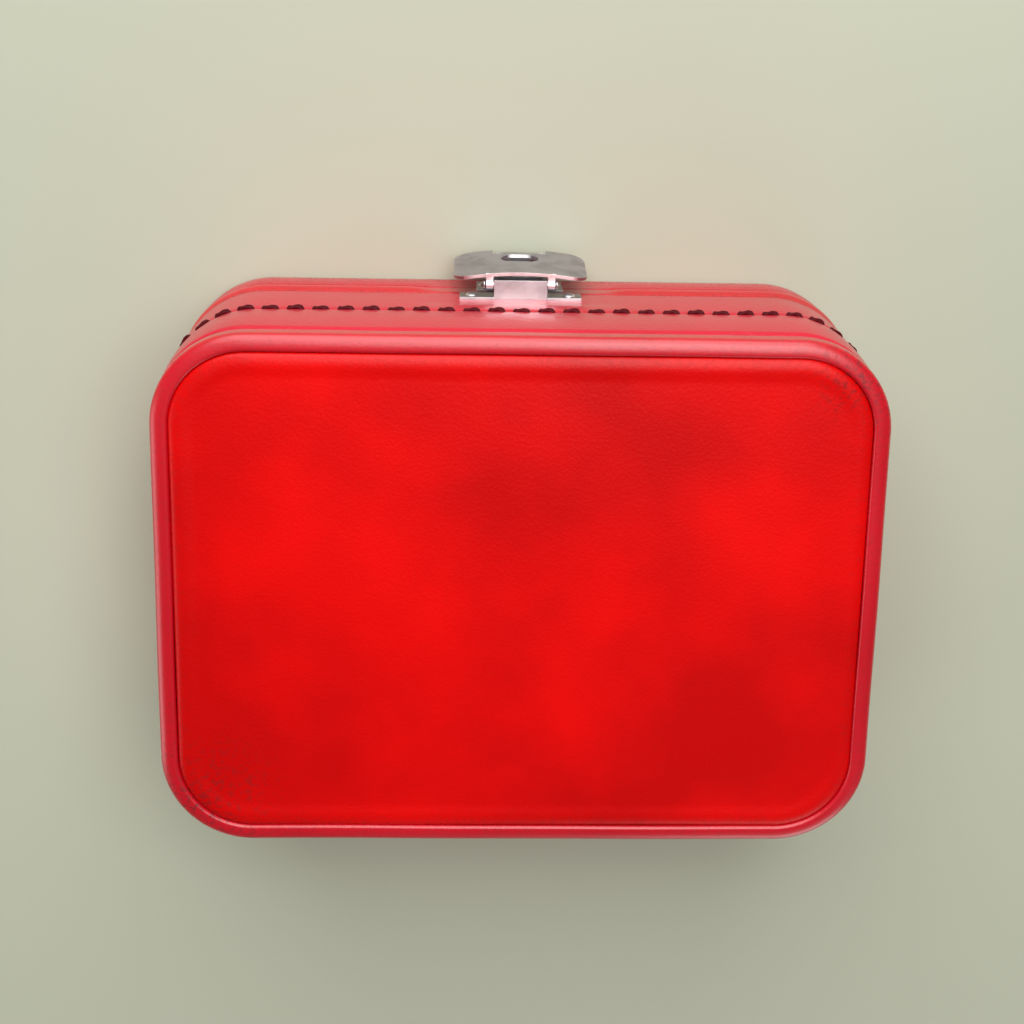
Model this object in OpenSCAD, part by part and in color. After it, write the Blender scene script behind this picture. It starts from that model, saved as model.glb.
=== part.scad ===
// Small hinged sewing case that lies flat: a shallow base, a deep lid and two
// trays that rise and step back on linkage arms as the lid opens.
// Frame: X is the width, Y the depth (latch at -Y, hinges at +Y), Z up,
// origin at the middle of the underside.

/* [Case] */
// Width over the side walls
case_w = 250; // [210:1:300]
// Depth over the front and back walls
case_d = 186; // [155:1:223]
// Height of the closed case
case_h = 95; // [93:1:114]
// Outside radius of the four upright corners
corner_r = 32; // [27:0.2:38.4]
// Height of the parting line between base and lid
seam_z = 26; // [23:0.2:31.2]
// Gap between base and lid at the parting line
seam_gap = 0.6; // [0.5:0.1:0.9]

/* [Walls] */
// Thickness of the padded vinyl covering
cover_t = 1.5; // [1.3:0.1:1.8]
// Thickness of the board shells
shell_t = 3; // [2.4:0.1:3.6]
// Thickness of the fabric lining
lining_t = 0.8; // [0.6:0.1:1]
// Height of the edge binding on the base
binding_h = 8.8; // [7:0.1:10]
// Width of the groove below the binding and under the lid's rim
crease_w = 0.7; // [0.5:0.1:0.9]

/* [Lid top] */
// Width of the rolled bead round the lid's top
bead_w = 6; // [5:0.1:6.5]
// Height of the bead's side, from the crease to the middle of its roll
bead_side_h = 6; // [5:0.1:7]
// How far the pillow panel stands above the bead
pad_rise = 0.8; // [0.5:0.1:1]
// Gap between the bead and the pillow panel
pad_gap = 0.6; // [0.5:0.1:0.8]
// Width of the pillow panel's rolled edge
pad_roll = 12; // [8:0.5:14]
// Thickness of the quilted pad under the lid's top
quilt_t = 3; // [2:0.5:3]

/* [Stitching] */
// Height of the row of stitches
stitch_z = 55; // [48:1:62]
// Distance from one stitch to the next
stitch_pitch = 9; // [7.5:0.5:11]
// Length of one stitch
stitch_len = 6; // [5:0.5:6.5]
// Radius of the thread
thread_r = 0.6; // [0.5:0.1:0.65]

/* [Hinges] */
// Distance of each hinge from the middle
hinge_x = 72; // [60:1:80]
// Width of one hinge
hinge_w = 36; // [30:1:42]
// Outside radius of the knuckles
knuckle_r = 3; // [2.6:0.1:3.4]
// Radius of the hinge pins
hinge_pin_r = 1.3; // [1.1:0.1:1.5]
// Height of one hinge leaf
leaf_h = 18; // [16:1:18]

/* [Latch] */
// Width of the hasp plate
hasp_w = 49; // [41:1:58]
// Height of the hasp plate
hasp_h = 30; // [28:0.5:31]
// How far the hasp plate's middle bows out
hasp_bow = 2.5; // [2:0.1:3]
// Corner radius of the hasp plate
hasp_corner_r = 6.5; // [4:0.5:8]
// Distance from the wall to the hasp plate's outer crown
hasp_stand = 10; // [9.8:0.1:11]
// Lean of the hasp plate, lower edge outwards, degrees
hasp_lean = 5; // [4:0.5:6]
// Radius of the hasp's pin
hasp_pin_r = 1.2; // [1:0.1:1.4]
// Distance between the bracket's legs
bracket_gap = 17; // [15:0.5:19]
// Width of the notch in the hasp plate's lower edge
notch_w = 20; // [18:0.5:22]
// Length of the oval hole in the hasp plate
oval_w = 14; // [12:0.5:15]
// Height of the oval hole in the hasp plate
oval_h = 9; // [8:0.5:9.5]

/* [Trays] */
// Wall thickness of the trays
tray_t = 1.6; // [1.2:0.1:2]
// Height of each tray
tray_h = 20; // [17:0.5:24]
// Gap between the lower and the upper tray
tray_gap = 3; // [2.5:0.5:3.5]
// How far the lower tray hangs below the parting line
tray_drop = 6; // [5:0.5:7]
// Gap from the trays to the front wall's lining
tray_front_gap = 5.7; // [5:0.1:7]
// Height of the dividers above the tray floor
divider_h = 15; // [12:0.5:16]
// Radius of the pivot studs
stud_r = 1.5; // [1.3:0.1:1.8]
// Half width of the linkage arms
arm_r = 4; // [3.4:0.1:4.4]
// Thickness of the linkage arms and plates
arm_t = 1.2; // [1:0.1:1.3]

/* [Hidden] */
$fn = 48;

// Insets of the layers from the outside of the wall
shell_in = cover_t;
lining_in = shell_in + shell_t;
inner_in = lining_in + lining_t;

// Heights; the binding and the cover fold under at the seam with thickness fold_t,
// the board ends board_drop below the middle of the bead's roll, and the pillow
// panel's edge stands pad_edge_h above the board
base_top = seam_z - seam_gap / 2;
lid_bottom = seam_z + seam_gap / 2;
fold_t = 0.8;
board_drop = 1.7;
pad_edge_h = 2.2;
pad_margin = 4;
binding_z = base_top - binding_h;
bead_r = bead_w / 2;
bead_top = case_h - pad_rise;
roll_z = bead_top - bead_r;
crease_z = roll_z - bead_side_h;
board_top = roll_z - board_drop;
ceiling_z = board_top - shell_t - lining_t;
edge_lift = 0.2;
past = 5;

// Stitches lie in a groove, this far in from the wall
stitch_inset = 0.45;
groove_d = stitch_inset + thread_r + 0.1;
groove_h = 2 * thread_r + 0.6;

// Hinge axis
axis_y = case_d / 2 + knuckle_r;
axis_z = seam_z;
leaf_t = 1;
knuckle_gap = 0.3;
seg = (hinge_w - 2 * knuckle_gap) / 3;
leaf_clear = 0.6;
rivet_r = 1.4;
head_r = 2.4;
head_h = 1.1;
dome_r = (head_r * head_r + head_h * head_h) / (2 * head_h);
leaf_rivets_x = [-12, 0, 12];
pin_head_t = 0.7;
run = 0.05;
base_leaf_rivet_z = axis_z - knuckle_r - leaf_clear - (leaf_h - knuckle_r) / 2;
lid_leaf_rivet_z = axis_z + knuckle_r + leaf_clear + (leaf_h - knuckle_r) / 2;

// Latch bracket on the lid: two legs that carry the pin, a web between them at the
// top and two riveted flanges; every place is measured from the wall and the pin
wall_y = -case_d / 2;
pin_out = 5;
pin_rise = 7.2;
pin_z = lid_bottom + pin_rise;
sheet_t = 1;
leg_t = 1.2;
leg_x = bracket_gap / 2;
leg_out = 7;
leg_over = 2.7;
leg_under = 6;
flange_w = 12.5;
flange_h = 8;
bracket_rivet_x = leg_x + leg_t + flange_w * 0.64;

// Hasp plate, its knuckles and the arms that join them
hasp_t = 1.2;
hasp_over = 1.5;
hasp_top = pin_z + hasp_over;
hasp_low = hasp_top - hasp_h;
crown_y = wall_y - hasp_stand;
hasp_knuckle_r = 2.1;
hasp_knuckle_w = 2.6;
knuckle_arm_h = 2.8;
side_clear = 0.3;
notch_h = 4.4;

// Catch on the base: a riveted back plate, a box with the button, and a lip that
// reaches out through the hasp's notch
catch_x = 10;
catch_out = 5.5;
catch_box_h = 12;
catch_rivet_x = catch_x + 3;
catch_edge = 3;
catch_mid_z = hasp_low + 11.2;
lip_z = hasp_low + 0.3;
back_plate_z = lip_z + notch_h;
back_plate_h = base_top - 1 - back_plate_z;
button_gap = 0.3;
button_under = 0.8;
button_less = 1;
button_back = 1.6;
button_face = crown_y + hasp_t + button_under - (pin_z - catch_mid_z) * sin(hasp_lean);
lip_x = notch_w / 2 - 1;
lip_t = 1.6;
lip_end = crown_y + 1 - (pin_z - lip_z) * sin(hasp_lean);

// Planes beside each side wall, as insets from the outside of the wall
plate_in = inner_in + 0.8;
arm1_in = plate_in + arm_t + 0.6;
arm2_in = arm1_in + arm_t + 0.8;
tray_in = arm2_in + arm_t + 0.9;
thin_head = 0.4;
collar_r = 3;
stud_head_r = 2.6;
loop_clear = 0.4;

// Heights of the trays, and of the pivots above the trays' undersides
lower_tray_z = seam_z - tray_drop;
upper_tray_z = lower_tray_z + tray_h + tray_gap;
upper_pivot_h = 5;
lower_pivot_h = 7;

// Pivots as [distance from the hinge axis along Y, height above the axis]; in a
// shallow case the upper ones move back, and large corners push the last ones forward
upper_y = -min(66, (case_d - 54) / 2);
clear_of_corner = max(0, corner_r - 32);
upper_pivot = [upper_y, upper_tray_z + upper_pivot_h - axis_z];
lower_pivot = [-37 - clear_of_corner, lower_tray_z + lower_pivot_h - axis_z];
upper_offset = [upper_y, 1];
lower_offset = [-84, -2];
lid_rivet_a = [-64, 42];
lid_rivet_b = [-42 - clear_of_corner, 42];
base_rivet_a = [-64, -14];
base_rivet_b = [-86, -14];
plate_r = 5;
upper_end = upper_pivot + upper_offset;
lower_end = lower_pivot + lower_offset;

// Trays
tray_w = case_w - 2 * tray_in;
tray_front = wall_y + inner_in + tray_front_gap;
lower_tray_back = axis_y - 30;
upper_tray_back = axis_y - 36;
tray_front_r = corner_r - 18;
tray_back_r = 3.5;
tray_floor = 1.5;
tray_mid_y = tray_front + (upper_tray_back - tray_front) * 0.366;
back_bay = upper_tray_back - tray_mid_y;
peg_r = 2.4;
peg_h = 14;
peg_count = 4;
peg_rows = [tray_mid_y + back_bay * 0.25, tray_mid_y + back_bay * 0.7];

// ---------------------------------------------------------------- shapes

// Rounded rectangle set in from the wall by `inset`
module outline(inset) {
    w = case_w - 2 * inset;
    d = case_d - 2 * inset;
    r = corner_r - inset;
    square([w - 2 * r, d], center = true);
    square([w, d - 2 * r], center = true);
    for (sx = [-1, 1], sy = [-1, 1])
        translate([sx * (w / 2 - r), sy * (d / 2 - r)]) circle(r);
}

module slab(inset, z0, z1) {
    translate([0, 0, z0]) linear_extrude(z1 - z0) outline(inset);
}

module ring(in0, in1, z0, z1) {
    translate([0, 0, z0]) linear_extrude(z1 - z0) difference() {
        outline(in0);
        outline(in1);
    }
}

// Carries a flat profile round the case: its X is the distance outside the
// wall line (so inside is negative) and its Y is the height
module round_the_case() {
    w = case_w / 2 - corner_r;
    d = case_d / 2 - corner_r;
    for (q = [0 : 3])
        translate([(q == 0 || q == 3) ? w : -w, q < 2 ? d : -d, 0])
            rotate([0, 0, 90 * q])
                rotate_extrude(angle = 90) translate([corner_r, 0]) children();
    for (s = [-1, 1]) {
        rotate([0, 0, s < 0 ? 180 : 0]) translate([0, d, 0]) rotate([90, 0, 0])
            linear_extrude(2 * d) translate([case_w / 2, 0]) children();
        rotate([0, 0, s * 90]) translate([0, w, 0]) rotate([90, 0, 0])
            linear_extrude(2 * w) translate([case_d / 2, 0]) children();
    }
}

// Flat plate beside a side wall: its outline is in Y and Z, measured from the
// hinge axis, `inset` is where its outer face lies, `t` its thickness
module beside_wall(side, inset, t) {
    mirror([side < 0 ? 1 : 0, 0, 0])
        translate([case_w / 2 - inset - t, axis_y, axis_z])
            rotate([90, 0, 90]) linear_extrude(t) children();
}

// Half a turn of points round a centre, starting at angle `from`
function half_round(centre, r, from) =
    [for (k = [0 : 16]) centre + r * [cos(from + 180 * k / 16), sin(from + 180 * k / 16)]];

// Strap with round ends between two points
module strap(p, q, r) {
    heading = atan2(q[1] - p[1], q[0] - p[0]);
    polygon(concat(half_round(q, r, heading - 90), half_round(p, r, heading + 90)));
}

// Stud beside a side wall, from inset a to inset b, with a head at each end
module stud(side, at, a, b, head_a, head_b) {
    beside_wall(side, a, b - a) translate(at) circle(stud_r);
    beside_wall(side, a - head_a, head_a) translate(at) circle(stud_head_r);
    beside_wall(side, b, head_b) translate(at) circle(stud_head_r);
}

// Rod or hole along Y between two Y values
module along_y(x, z, r, y0, y1) {
    translate([x, y1, z]) rotate([90, 0, 0]) cylinder(r = r, h = y1 - y0);
}

// Rod or hole along X between two X values
module along_x(y, z, r, x0, x1) {
    translate([x0, y, z]) rotate([0, 90, 0]) cylinder(r = r, h = x1 - x0);
}

// Domed rivet head on a face: stands out along Y, `way` is +1 or -1
module dome(x, z, face_y, way) {
    translate([x, face_y, z]) rotate([way < 0 ? 90 : -90, 0, 0]) intersection() {
        translate([0, 0, head_h - dome_r]) sphere(dome_r);
        cylinder(r = head_r, h = head_h);
    }
}

// ----------------------------------------------------------- rivet holes

// Holes through cover and board for the hinge rivets
module hinge_holes(z) {
    for (s = [-1, 1], x = leaf_rivets_x)
        along_y(s * hinge_x + x, z, rivet_r, case_d / 2 - lining_in, case_d / 2 + past);
}

// Holes through cover and board for rivets in the front wall
module front_holes(x, z) {
    for (s = [-1, 1]) along_y(s * x, z, rivet_r, wall_y - past, wall_y + lining_in);
}

// Holes through lining and board for the rivets of the link plates
module side_holes(points) {
    for (s = [-1, 1], p = points)
        beside_wall(s, shell_in, inner_in - shell_in) translate(p) circle(rivet_r);
}

// ------------------------------------------------------------------ base

module base_shell() {
    color([0.72, 0.58, 0.42]) difference() {
        slab(shell_in, cover_t, base_top - fold_t);
        slab(lining_in, cover_t + shell_t, base_top + 1);
        hinge_holes(base_leaf_rivet_z);
        front_holes(catch_rivet_x, catch_mid_z);
        side_holes([base_rivet_a, base_rivet_b]);
    }
}

module base_cover() {
    color([0.78, 0.03, 0.07]) difference() {
        round_the_case() {
            translate([-cover_t, cover_t + edge_lift])
                square([cover_t, binding_z - crease_w - cover_t - edge_lift]);
            intersection() {
                translate([-cover_t, cover_t + edge_lift]) circle(cover_t);
                translate([-cover_t, edge_lift]) square(cover_t);
            }
        }
        hinge_holes(base_leaf_rivet_z);
        front_holes(catch_rivet_x, catch_mid_z);
    }
}

module base_binding() {
    r = fold_t / 2;
    color([0.80, 0.04, 0.09]) difference() {
        round_the_case() {
            translate([-cover_t, binding_z]) square([cover_t - r, binding_h]);
            translate([-cover_t, binding_z + r]) square([cover_t, binding_h - 2 * r]);
            translate([-r, binding_z + r]) circle(r);
            translate([-r, base_top - r]) circle(r);
            translate([-inner_in, base_top - fold_t]) square([inner_in - r, fold_t]);
        }
        hinge_holes(base_leaf_rivet_z);
        front_holes(catch_rivet_x, catch_mid_z);
    }
}

module bottom_panel() {
    color([0.70, 0.03, 0.06]) slab(cover_t, 0, cover_t);
}

module base_lining() {
    color([0.86, 0.80, 0.70]) difference() {
        slab(lining_in, cover_t + shell_t, base_top - fold_t);
        slab(inner_in, cover_t + shell_t + lining_t, base_top + 1);
        side_holes([base_rivet_a, base_rivet_b]);
    }
}

// ---------------------------------------------------------------- hinges

// One leaf: `up` is +1 for the lid's leaf with the middle knuckle, -1 for the
// base's leaf with the two outer knuckles
module hinge_leaf(x, up) {
    y0 = case_d / 2;
    first = up > 0 ? [1] : [0, 2];
    bore = up > 0 ? hinge_pin_r + run : hinge_pin_r;
    rivet_z = up > 0 ? lid_leaf_rivet_z : base_leaf_rivet_z;
    gap = knuckle_r + leaf_clear;
    difference() {
        union() {
            translate([x - hinge_w / 2, y0, up > 0 ? axis_z + gap : axis_z - gap - leaf_h + knuckle_r])
                cube([hinge_w, leaf_t, leaf_h - knuckle_r]);
            for (k = first) {
                x0 = x - hinge_w / 2 + k * (seg + knuckle_gap);
                along_x(axis_y, axis_z, knuckle_r, x0, x0 + seg);
                translate([x0, y0, up > 0 ? axis_z : axis_z - gap]) cube([seg, leaf_t, gap]);
            }
        }
        along_x(axis_y, axis_z, bore, x - hinge_w, x + hinge_w);
        for (rx = leaf_rivets_x) along_y(x + rx, rivet_z, rivet_r, y0 - past, y0 + past);
    }
}

module hinge_pin(x) {
    along_x(axis_y, axis_z, hinge_pin_r, x - hinge_w / 2, x + hinge_w / 2);
    for (end_x = [x - hinge_w / 2 - pin_head_t, x + hinge_w / 2])
        along_x(axis_y, axis_z, hinge_pin_r + pin_head_t, end_x, end_x + pin_head_t);
}

module leaf_rivets(z) {
    y0 = case_d / 2;
    for (s = [-1, 1], x = leaf_rivets_x) {
        along_y(s * hinge_x + x, z, rivet_r, y0 - lining_in, y0 + leaf_t);
        dome(s * hinge_x + x, z, y0 + leaf_t, 1);
    }
}

module base_hinge_leaf_left() { color([0.78, 0.77, 0.75]) hinge_leaf(-hinge_x, -1); }
module base_hinge_leaf_right() { color([0.78, 0.77, 0.75]) hinge_leaf(hinge_x, -1); }
module lid_hinge_leaf_left() { color([0.74, 0.73, 0.71]) hinge_leaf(-hinge_x, 1); }
module lid_hinge_leaf_right() { color([0.74, 0.73, 0.71]) hinge_leaf(hinge_x, 1); }
module hinge_pin_left() { color([0.65, 0.65, 0.66]) hinge_pin(-hinge_x); }
module hinge_pin_right() { color([0.65, 0.65, 0.66]) hinge_pin(hinge_x); }
module base_leaf_rivets() { color([0.80, 0.79, 0.77]) leaf_rivets(base_leaf_rivet_z); }
module lid_leaf_rivets() { color([0.80, 0.79, 0.77]) leaf_rivets(lid_leaf_rivet_z); }

// ----------------------------------------------------------------- latch

// Flat oval with round ends, drawn in X and Z, standing along -Y from y0 to y1
module oval(w, h, y0, y1) {
    translate([0, y1, catch_mid_z]) rotate([90, 0, 0]) linear_extrude(y1 - y0) {
        square([w - h, h], center = true);
        for (s = [-1, 1]) translate([s * (w - h) / 2, 0]) circle(h / 2);
    }
}

module catch_plate() {
    plate_y = wall_y - sheet_t;
    less = button_less - 2 * button_gap;
    lip_curl = 0.9;
    color([0.66, 0.66, 0.67]) difference() {
        union() {
            translate([-catch_rivet_x - catch_edge, plate_y, back_plate_z])
                cube([2 * (catch_rivet_x + catch_edge), sheet_t, back_plate_h]);
            translate([-catch_x, wall_y - catch_out, catch_mid_z - catch_box_h / 2])
                cube([2 * catch_x, catch_out - sheet_t, catch_box_h]);
            translate([-lip_x, plate_y, lip_z]) cube([2 * lip_x, sheet_t, notch_h + sheet_t]);
            translate([-lip_x, lip_end, lip_z]) cube([2 * lip_x, wall_y - sheet_t / 2 - lip_end, lip_t]);
            translate([-lip_x, lip_end, lip_z]) cube([2 * lip_x, leg_t, lip_t + lip_curl]);
        }
        oval(oval_w - less, oval_h - less, wall_y - catch_out - past, plate_y);
        for (s = [-1, 1]) along_y(s * catch_rivet_x, catch_mid_z, rivet_r, wall_y - past, wall_y + past);
    }
}

module catch_plate_rivets() {
    color([0.80, 0.79, 0.77]) for (s = [-1, 1]) {
        along_y(s * catch_rivet_x, catch_mid_z, rivet_r, wall_y - sheet_t, wall_y + lining_in);
        dome(s * catch_rivet_x, catch_mid_z, wall_y - sheet_t, -1);
    }
}

module catch_button() {
    color([0.55, 0.55, 0.57])
        oval(oval_w - button_less, oval_h - button_less, button_face, wall_y - sheet_t - button_back);
}

module hasp_bracket() {
    top = pin_z + leg_over;
    out = wall_y - leg_out;
    color([0.68, 0.67, 0.68]) difference() {
        union() {
            translate([-leg_x, out, top - sheet_t]) cube([2 * leg_x, leg_out, sheet_t]);
            for (s = [-1, 1]) {
                translate([s * (leg_x + leg_t / 2) - leg_t / 2, out, pin_z - leg_under])
                    cube([leg_t, leg_out, leg_under + leg_over]);
                flange_x = s * (leg_x + leg_t + flange_w / 2) - flange_w / 2;
                translate([flange_x, wall_y - sheet_t, pin_z - flange_h / 2])
                    cube([flange_w, sheet_t, flange_h]);
            }
        }
        along_x(wall_y - pin_out, pin_z, hasp_pin_r, -leg_x - past, leg_x + past);
        for (s = [-1, 1]) along_y(s * bracket_rivet_x, pin_z, rivet_r, wall_y - past, wall_y + past);
    }
}

module bracket_rivets() {
    color([0.80, 0.79, 0.77]) for (s = [-1, 1]) {
        along_y(s * bracket_rivet_x, pin_z, rivet_r, wall_y - sheet_t, wall_y + lining_in);
        dome(s * bracket_rivet_x, pin_z, wall_y - sheet_t, -1);
    }
}

module hasp_pin() {
    reach = leg_x + leg_t + 2 * side_clear + hasp_knuckle_w;
    color([0.62, 0.62, 0.64]) {
        along_x(wall_y - pin_out, pin_z, hasp_pin_r, -reach, reach);
        for (end_x = [-reach - pin_head_t, reach])
            along_x(wall_y - pin_out, pin_z, hasp_pin_r + pin_head_t, end_x, end_x + pin_head_t);
    }
}

// Turns its children about the hasp's pin, lower side outwards
module about_pin(angle) {
    translate([0, wall_y - pin_out, pin_z]) rotate([-angle, 0, 0])
        translate([0, pin_out - wall_y, -pin_z]) children();
}

// Bowed plate: a slice of a thin tube whose sagitta over the width is hasp_bow,
// leaning about the pin, on two knuckles
module hasp_plate() {
    bow_r = (hasp_w * hasp_w / 4 + hasp_bow * hasp_bow) / (2 * hasp_bow);
    r = hasp_corner_r;
    knuckle_x = leg_x + leg_t + side_clear;
    inside_y = crown_y + hasp_t;
    color([0.72, 0.70, 0.72]) difference() {
        union() {
            about_pin(hasp_lean) difference() {
                intersection() {
                    translate([0, 0, hasp_low]) linear_extrude(hasp_h) difference() {
                        translate([0, crown_y + bow_r]) circle(bow_r, $fn = 720);
                        translate([0, crown_y + bow_r]) circle(bow_r - hasp_t, $fn = 720);
                    }
                    translate([0, wall_y, hasp_low + hasp_h / 2]) rotate([90, 0, 0])
                    linear_extrude(hasp_stand + past) {
                        square([hasp_w - 2 * r, hasp_h], center = true);
                        square([hasp_w, hasp_h - 2 * r], center = true);
                        for (sx = [-1, 1], sz = [-1, 1])
                            translate([sx * (hasp_w / 2 - r), sz * (hasp_h / 2 - r)]) circle(r);
                    }
                }
                translate([-notch_w / 2, crown_y - past, hasp_low - past])
                    cube([notch_w, 2 * past, notch_h + past]);
                oval(oval_w, oval_h, crown_y - past, crown_y + past);
            }
            for (s = [-1, 1]) {
                x0 = s > 0 ? knuckle_x : -knuckle_x - hasp_knuckle_w;
                along_x(wall_y - pin_out, pin_z, hasp_knuckle_r, x0, x0 + hasp_knuckle_w);
                translate([x0, inside_y - hasp_t / 2, pin_z - knuckle_arm_h / 2])
                    cube([hasp_knuckle_w, wall_y - pin_out - inside_y + hasp_t / 2, knuckle_arm_h]);
            }
        }
        along_x(wall_y - pin_out, pin_z, hasp_pin_r + run, -hasp_w / 2, hasp_w / 2);
    }
}

// ------------------------------------------------------------------- lid

module lid_shell() {
    color([0.72, 0.58, 0.42]) difference() {
        slab(shell_in, lid_bottom + fold_t, board_top);
        slab(lining_in, lid_bottom, board_top - shell_t);
        hinge_holes(lid_leaf_rivet_z);
        front_holes(bracket_rivet_x, pin_z);
        side_holes([lid_rivet_a, lid_rivet_b]);
    }
}

module lid_cover() {
    r = fold_t / 2;
    top = crease_z - crease_w;
    color([0.80, 0.04, 0.08]) difference() {
        round_the_case() {
            translate([-inner_in, lid_bottom]) square([inner_in - r, fold_t]);
            translate([-r, lid_bottom + r]) circle(r);
            translate([-cover_t, lid_bottom + r]) square([cover_t, top - lid_bottom - 2 * r]);
            translate([-cover_t, lid_bottom + r]) square([cover_t - r, top - lid_bottom - r]);
            translate([-r, top - r]) circle(r);
        }
        ring(-1, groove_d, stitch_z - groove_h / 2, stitch_z + groove_h / 2);
        hinge_holes(lid_leaf_rivet_z);
        front_holes(bracket_rivet_x, pin_z);
    }
}

module lid_rim_bead() {
    color([0.82, 0.05, 0.10]) round_the_case() {
        translate([-cover_t, crease_z]) square([cover_t, board_top - crease_z]);
        difference() {
            union() {
                translate([-bead_r, roll_z]) circle(bead_r);
                translate([-bead_w, crease_z]) square([bead_w, roll_z - crease_z]);
            }
            translate([-bead_w - 1, crease_z - 1]) square([bead_w + 2, board_top - crease_z + 1]);
        }
    }
}

module lid_top_pad() {
    edge_in = bead_w + pad_gap;
    steps = 12;
    edge_z = board_top + pad_edge_h;
    rise = case_h - edge_z;
    flat_in = edge_in + pad_roll;
    color([0.84, 0.02, 0.06]) {
        round_the_case() polygon(concat(
            [[-flat_in, board_top], [-edge_in, board_top]],
            [for (k = [0 : steps]) let (a = 90 * k / steps)
                [-flat_in + pad_roll * cos(a), edge_z + rise * sin(a)]]));
        slab(flat_in, board_top, case_h);
    }
}

// Stitches in equal steps along each straight wall and round each corner
module lid_stitching() {
    r = corner_r - stitch_inset;
    w = case_w / 2 - corner_r;
    d = case_d / 2 - corner_r;
    turns = round(PI * corner_r / 2 / stitch_pitch);
    color([0.36, 0.02, 0.06]) {
        for (side = [0 : 3]) {
            half = side % 2 == 0 ? w : d;
            out = side % 2 == 0 ? case_d / 2 : case_w / 2;
            count = round(2 * half / stitch_pitch);
            for (k = [0 : count - 1])
                rotate([0, 0, 90 * side])
                    translate([-half + (k + 0.5) * 2 * half / count, -out + stitch_inset, stitch_z])
                        rotate([0, 90, 0]) cylinder(r = thread_r, h = stitch_len, center = true);
        }
        for (sx = [-1, 1], sy = [-1, 1], k = [0 : turns - 1])
            translate([sx * w, sy * d, stitch_z])
                rotate([0, 0, atan2(sy, sx) + ((k + 0.5) / turns - 0.5) * 90])
                    translate([r, 0, 0]) rotate([90, 0, 0])
                        cylinder(r = thread_r, h = stitch_len, center = true);
    }
}

module lid_lining() {
    color([0.88, 0.82, 0.72]) difference() {
        slab(lining_in, lid_bottom + fold_t, board_top - shell_t);
        slab(inner_in, lid_bottom, ceiling_z);
        side_holes([lid_rivet_a, lid_rivet_b]);
    }
}

module lid_quilted_pad() {
    color([0.90, 0.84, 0.74]) slab(inner_in + pad_margin, ceiling_z - quilt_t, ceiling_z);
}

// --------------------------------------------------------------- linkage

module lid_link_plate(side) {
    beside_wall(side, plate_in, arm_t) difference() {
        union() {
            strap(upper_pivot, lower_pivot, plate_r);
            strap(upper_pivot, lid_rivet_a, plate_r);
            strap(lower_pivot, lid_rivet_b, plate_r);
            strap(lid_rivet_a, lid_rivet_b, plate_r);
            polygon([upper_pivot, lower_pivot, lid_rivet_b, lid_rivet_a]);
        }
        translate(upper_pivot) circle(stud_r);
        translate(lower_pivot) circle(stud_r);
        translate(lid_rivet_a) circle(rivet_r);
        translate(lid_rivet_b) circle(rivet_r);
    }
}

module base_link_plate(side) {
    beside_wall(side, plate_in, arm_t) difference() {
        union() {
            strap(upper_offset, base_rivet_a, plate_r);
            strap(lower_offset, base_rivet_b, plate_r);
            strap(base_rivet_a, base_rivet_b, plate_r);
            strap(upper_offset, base_rivet_b, plate_r);
            strap(lower_offset, base_rivet_a, plate_r);
        }
        translate(upper_offset) circle(stud_r);
        translate(lower_offset) circle(stud_r);
        translate(base_rivet_a) circle(rivet_r);
        translate(base_rivet_b) circle(rivet_r);
    }
}

// Rivets of the link plates: shank through plate, lining and board, a spacer
// collar between plate and lining and a flat head on the inside
module link_rivets(points) {
    for (s = [-1, 1], p = points) {
        beside_wall(s, shell_in, plate_in + arm_t - shell_in) translate(p) circle(rivet_r);
        beside_wall(s, inner_in, plate_in - inner_in) translate(p) circle(collar_r);
        beside_wall(s, plate_in + arm_t, thin_head) translate(p) circle(head_r);
    }
}

module link_arm(side, inset, offset_v, end_v) {
    beside_wall(side, inset, arm_t) difference() {
        strap(offset_v, end_v, arm_r);
        translate(offset_v) circle(stud_r + run);
        translate(end_v) circle(stud_r + loop_clear);
    }
}

module base_link_plate_left() { color([0.62, 0.62, 0.63]) base_link_plate(-1); }
module base_link_plate_right() { color([0.62, 0.62, 0.63]) base_link_plate(1); }
module base_link_rivets() { color([0.75, 0.75, 0.75]) link_rivets([base_rivet_a, base_rivet_b]); }
module lid_link_plate_left() { color([0.62, 0.62, 0.63]) lid_link_plate(-1); }
module lid_link_plate_right() { color([0.62, 0.62, 0.63]) lid_link_plate(1); }
module lid_link_rivets() { color([0.75, 0.75, 0.75]) link_rivets([lid_rivet_a, lid_rivet_b]); }
module upper_arm_left() { color([0.70, 0.70, 0.71]) link_arm(-1, arm1_in, upper_offset, upper_end); }
module upper_arm_right() { color([0.70, 0.70, 0.71]) link_arm(1, arm1_in, upper_offset, upper_end); }
module lower_arm_left() { color([0.70, 0.70, 0.71]) link_arm(-1, arm2_in, lower_offset, lower_end); }
module lower_arm_right() { color([0.70, 0.70, 0.71]) link_arm(1, arm2_in, lower_offset, lower_end); }

module arm_pivot_studs() {
    color([0.78, 0.78, 0.78]) for (s = [-1, 1]) {
        stud(s, upper_offset, plate_in, arm1_in + arm_t, thin_head, thin_head);
        stud(s, lower_offset, plate_in, arm2_in + arm_t, thin_head, thin_head);
    }
}

module tray_pivot_studs() {
    color([0.78, 0.78, 0.78]) for (s = [-1, 1], p = [upper_pivot, lower_pivot])
        stud(s, p, plate_in, tray_in + tray_t, thin_head, 2 * thin_head);
}

module upper_tray_studs() {
    color([0.78, 0.78, 0.78]) for (s = [-1, 1])
        stud(s, upper_end, arm1_in, tray_in + tray_t, thin_head, 2 * thin_head);
}

module lower_tray_studs() {
    color([0.78, 0.78, 0.78]) for (s = [-1, 1])
        stud(s, lower_end, arm2_in, tray_in + tray_t, thin_head, 2 * thin_head);
}

// ----------------------------------------------------------------- trays

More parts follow.
